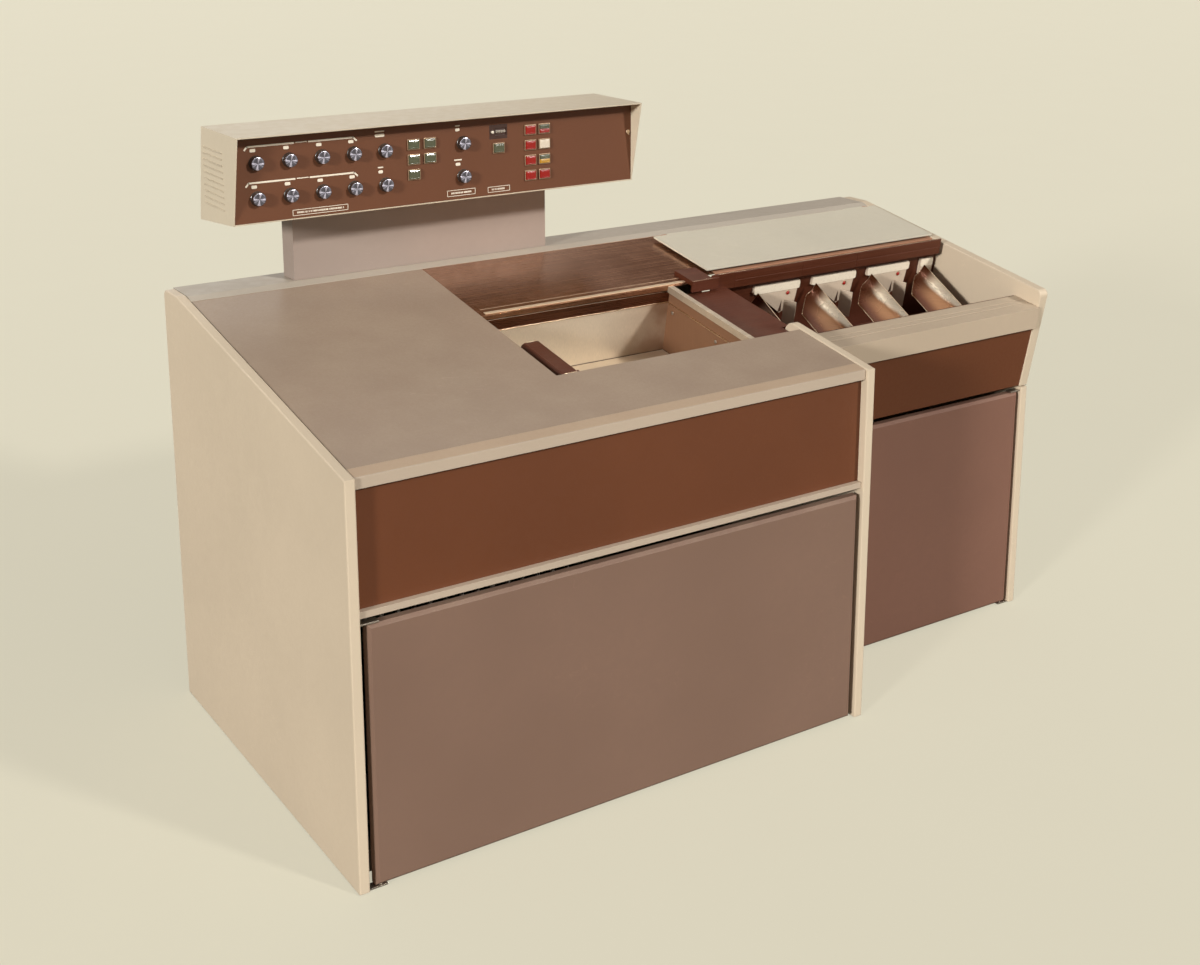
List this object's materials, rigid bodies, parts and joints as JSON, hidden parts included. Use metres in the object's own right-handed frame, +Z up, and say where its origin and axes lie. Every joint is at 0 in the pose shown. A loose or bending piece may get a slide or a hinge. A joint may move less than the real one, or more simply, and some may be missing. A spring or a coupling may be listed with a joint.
{
  "type": "card sorting machine",
  "caption": "Desk-height card sorting machine with a feed hopper in its sloping deck, stacker pockets behind a lip, a raised control console and hinged cabinet doors.",
  "frame": {"origin": "centre of the overall box in X and Y, on the floor under the feet", "axes": "+X along the cabinets from the feed side to the pocket side, +Y from the operator to the back, +Z up"},
  "size_m": [1.827, 0.866, 1.226],
  "materials": {
    "cream_paint": "satin baked enamel",
    "trim_paint": "satin baked enamel",
    "door_paint": "low-sheen baked enamel",
    "brown_laminate": "matt laminate",
    "deck_laminate": "matt laminate with fine grain",
    "frame_paint": "matt black",
    "steel": "brushed, directional grain",
    "dark_steel": "brushed and darkened",
    "brown_metal": "satin brown enamel",
    "cover_paint": "satin enamel",
    "guide_plastic": "moulded white plastic",
    "console_paint": "lightly textured enamel",
    "face_paint": "matt enamel with printed lines",
    "pedestal_paint": "satin enamel",
    "knob_metal": "spun end on a dark turned grip",
    "green_lens": "ribbed lens",
    "red_lens": "ribbed lens",
    "white_lens": "ribbed lens",
    "yellow_lens": "ribbed lens",
    "counter_plastic": "fine moulded texture",
    "reset_plastic": "polished",
    "roller_rubber": "ground rubber",
    "motor_paint": "hammer finish",
    "board_material": "circuit boards in a grey rack",
    "foot_rubber": "moulded",
    "hinge_steel": "zinc plated"
  },
  "bodies": {
    "cabinet": {"left_side_panel": "cream_paint", "divider_panel": "cream_paint", "right_lower_side_panel": "cream_paint", "right_upper_side_panel": "cream_paint", "base_frame": "frame_paint", "levelling_feet": "foot_rubber", "rear_panels": "cream_paint", "brown_fascias": "brown_laminate", "front_trims": "trim_paint", "right_front_lip": "trim_paint", "top_slab": "deck_laminate", "rear_ledge": "trim_paint", "hopper_tray": "steel", "hopper_rails": "steel", "feed_deck_plate": "dark_steel", "transport_beam": "brown_metal", "transport_bed": "dark_steel", "pocket_bay": "brown_metal", "pocket_chutes": "steel", "pocket_guides": "guide_plastic", "pedestal": "pedestal_paint", "console_housing": "console_paint", "console_face": "face_paint", "counter_module": "counter_plastic", "door_hinges": "hinge_steel", "drive_motor": "motor_paint", "electronics": "board_material"},
    "upper_knob_1": {"upper_knob_1": "knob_metal"},
    "upper_knob_2": {"upper_knob_2": "knob_metal"},
    "upper_knob_3": {"upper_knob_3": "knob_metal"},
    "upper_knob_4": {"upper_knob_4": "knob_metal"},
    "upper_knob_5": {"upper_knob_5": "knob_metal"},
    "upper_rate_knob": {"upper_rate_knob": "knob_metal"},
    "lower_knob_1": {"lower_knob_1": "knob_metal"},
    "lower_knob_2": {"lower_knob_2": "knob_metal"},
    "lower_knob_3": {"lower_knob_3": "knob_metal"},
    "lower_knob_4": {"lower_knob_4": "knob_metal"},
    "lower_knob_5": {"lower_knob_5": "knob_metal"},
    "lower_rate_knob": {"lower_rate_knob": "knob_metal"},
    "green_button_1": {"green_button_1": "green_lens"},
    "green_button_2": {"green_button_2": "green_lens"},
    "green_button_3": {"green_button_3": "green_lens"},
    "green_button_4": {"green_button_4": "green_lens"},
    "green_button_5": {"green_button_5": "green_lens"},
    "start_button": {"start_button": "green_lens"},
    "left_button_1": {"left_button_1": "red_lens"},
    "left_button_2": {"left_button_2": "red_lens"},
    "left_button_3": {"left_button_3": "red_lens"},
    "left_button_4": {"left_button_4": "red_lens"},
    "right_button_1": {"right_button_1": "red_lens"},
    "right_button_2": {"right_button_2": "white_lens"},
    "right_button_3": {"right_button_3": "yellow_lens"},
    "right_button_4": {"right_button_4": "red_lens"},
    "main_door": {"main_door": "door_paint"},
    "right_door": {"right_door": "door_paint"},
    "transport_cover": {"transport_cover": "cover_paint"},
    "hopper_pusher": {"hopper_pusher": "brown_metal"},
    "feed_roller": {"feed_roller": "roller_rubber"},
    "transport_roller": {"transport_roller": "roller_rubber"},
    "counter_reset": {"counter_reset": "reset_plastic"}
  },
  "joints": [
    {"name": "main_door_hinge", "type": "hinge", "parent": "cabinet", "child": "main_door", "pos_m": [-0.8695, -0.4215, 0.2505], "axis": [0, 0, -1], "range_deg": [0, 100]},
    {"name": "right_door_hinge", "type": "hinge", "parent": "cabinet", "child": "right_door", "pos_m": [0.8745, -0.2035, 0.27], "axis": [0, 0, 1], "range_deg": [0, 100]},
    {"name": "cover_hinge", "type": "hinge", "parent": "cabinet", "child": "transport_cover", "pos_m": [0.5445, 0.305, 0.88856], "axis": [-1, 0, 0], "range_deg": [0, 75]},
    {"name": "pusher_slide", "type": "slide", "parent": "cabinet", "child": "hopper_pusher", "axis": [1, 0, 0], "range_m": [0, 0.38]},
    {"name": "feed_spin", "type": "hinge", "parent": "cabinet", "child": "feed_roller", "pos_m": [-0.1465, 0.10569, 0.82065], "axis": [1, 0, 0], "continuous": true},
    {"name": "transport_spin", "type": "hinge", "parent": "cabinet", "child": "transport_roller", "pos_m": [0.5665, 0.19104, 0.84351], "axis": [1, 0, 0], "continuous": true},
    {"name": "upper_knob_1_turn", "type": "hinge", "parent": "cabinet", "child": "upper_knob_1", "pos_m": [-0.785, 0.223, 1.1696], "axis": [0, 1, 0], "range_deg": [-150, 150]},
    {"name": "upper_knob_2_turn", "type": "hinge", "parent": "cabinet", "child": "upper_knob_2", "pos_m": [-0.7168, 0.223, 1.1696], "axis": [0, 1, 0], "range_deg": [-150, 150]},
    {"name": "upper_knob_3_turn", "type": "hinge", "parent": "cabinet", "child": "upper_knob_3", "pos_m": [-0.6486, 0.223, 1.1696], "axis": [0, 1, 0], "range_deg": [-150, 150]},
    {"name": "upper_knob_4_turn", "type": "hinge", "parent": "cabinet", "child": "upper_knob_4", "pos_m": [-0.5804, 0.223, 1.1696], "axis": [0, 1, 0], "range_deg": [-150, 150]},
    {"name": "upper_knob_5_turn", "type": "hinge", "parent": "cabinet", "child": "upper_knob_5", "pos_m": [-0.5122, 0.223, 1.1696], "axis": [0, 1, 0], "range_deg": [-150, 150]},
    {"name": "upper_rate_knob_turn", "type": "hinge", "parent": "cabinet", "child": "upper_rate_knob", "pos_m": [-0.3345, 0.223, 1.1696], "axis": [0, 1, 0], "range_deg": [-150, 150]},
    {"name": "lower_knob_1_turn", "type": "hinge", "parent": "cabinet", "child": "lower_knob_1", "pos_m": [-0.785, 0.223, 1.1], "axis": [0, 1, 0], "range_deg": [-150, 150]},
    {"name": "lower_knob_2_turn", "type": "hinge", "parent": "cabinet", "child": "lower_knob_2", "pos_m": [-0.7168, 0.223, 1.1], "axis": [0, 1, 0], "range_deg": [-150, 150]},
    {"name": "lower_knob_3_turn", "type": "hinge", "parent": "cabinet", "child": "lower_knob_3", "pos_m": [-0.6486, 0.223, 1.1], "axis": [0, 1, 0], "range_deg": [-150, 150]},
    {"name": "lower_knob_4_turn", "type": "hinge", "parent": "cabinet", "child": "lower_knob_4", "pos_m": [-0.5804, 0.223, 1.1], "axis": [0, 1, 0], "range_deg": [-150, 150]},
    {"name": "lower_knob_5_turn", "type": "hinge", "parent": "cabinet", "child": "lower_knob_5", "pos_m": [-0.5122, 0.223, 1.1], "axis": [0, 1, 0], "range_deg": [-150, 150]},
    {"name": "lower_rate_knob_turn", "type": "hinge", "parent": "cabinet", "child": "lower_rate_knob", "pos_m": [-0.3345, 0.223, 1.1], "axis": [0, 1, 0], "range_deg": [-150, 150]},
    {"name": "green_button_1_press", "type": "slide", "parent": "cabinet", "child": "green_button_1", "axis": [0, 1, 0], "range_m": [0, 0.003], "stiffness_N_per_m": 400},
    {"name": "green_button_2_press", "type": "slide", "parent": "cabinet", "child": "green_button_2", "axis": [0, 1, 0], "range_m": [0, 0.003], "stiffness_N_per_m": 400},
    {"name": "green_button_3_press", "type": "slide", "parent": "cabinet", "child": "green_button_3", "axis": [0, 1, 0], "range_m": [0, 0.003], "stiffness_N_per_m": 400},
    {"name": "green_button_4_press", "type": "slide", "parent": "cabinet", "child": "green_button_4", "axis": [0, 1, 0], "range_m": [0, 0.003], "stiffness_N_per_m": 400},
    {"name": "green_button_5_press", "type": "slide", "parent": "cabinet", "child": "green_button_5", "axis": [0, 1, 0], "range_m": [0, 0.003], "stiffness_N_per_m": 400},
    {"name": "start_button_press", "type": "slide", "parent": "cabinet", "child": "start_button", "axis": [0, 1, 0], "range_m": [0, 0.003], "stiffness_N_per_m": 400},
    {"name": "left_button_1_press", "type": "slide", "parent": "cabinet", "child": "left_button_1", "axis": [0, 1, 0], "range_m": [0, 0.003], "stiffness_N_per_m": 400},
    {"name": "left_button_2_press", "type": "slide", "parent": "cabinet", "child": "left_button_2", "axis": [0, 1, 0], "range_m": [0, 0.003], "stiffness_N_per_m": 400},
    {"name": "left_button_3_press", "type": "slide", "parent": "cabinet", "child": "left_button_3", "axis": [0, 1, 0], "range_m": [0, 0.003], "stiffness_N_per_m": 400},
    {"name": "left_button_4_press", "type": "slide", "parent": "cabinet", "child": "left_button_4", "axis": [0, 1, 0], "range_m": [0, 0.003], "stiffness_N_per_m": 400},
    {"name": "right_button_1_press", "type": "slide", "parent": "cabinet", "child": "right_button_1", "axis": [0, 1, 0], "range_m": [0, 0.003], "stiffness_N_per_m": 400},
    {"name": "right_button_2_press", "type": "slide", "parent": "cabinet", "child": "right_button_2", "axis": [0, 1, 0], "range_m": [0, 0.003], "stiffness_N_per_m": 400},
    {"name": "right_button_3_press", "type": "slide", "parent": "cabinet", "child": "right_button_3", "axis": [0, 1, 0], "range_m": [0, 0.003], "stiffness_N_per_m": 400},
    {"name": "right_button_4_press", "type": "slide", "parent": "cabinet", "child": "right_button_4", "axis": [0, 1, 0], "range_m": [0, 0.003], "stiffness_N_per_m": 400},
    {"name": "counter_reset_press", "type": "slide", "parent": "cabinet", "child": "counter_reset", "axis": [0, 1, 0], "range_m": [0, 0.002], "stiffness_N_per_m": 300}
  ],
  "couplings": [
    {"joint": "feed_spin", "follows": "transport_spin", "ratio": 1.4667}
  ]
}
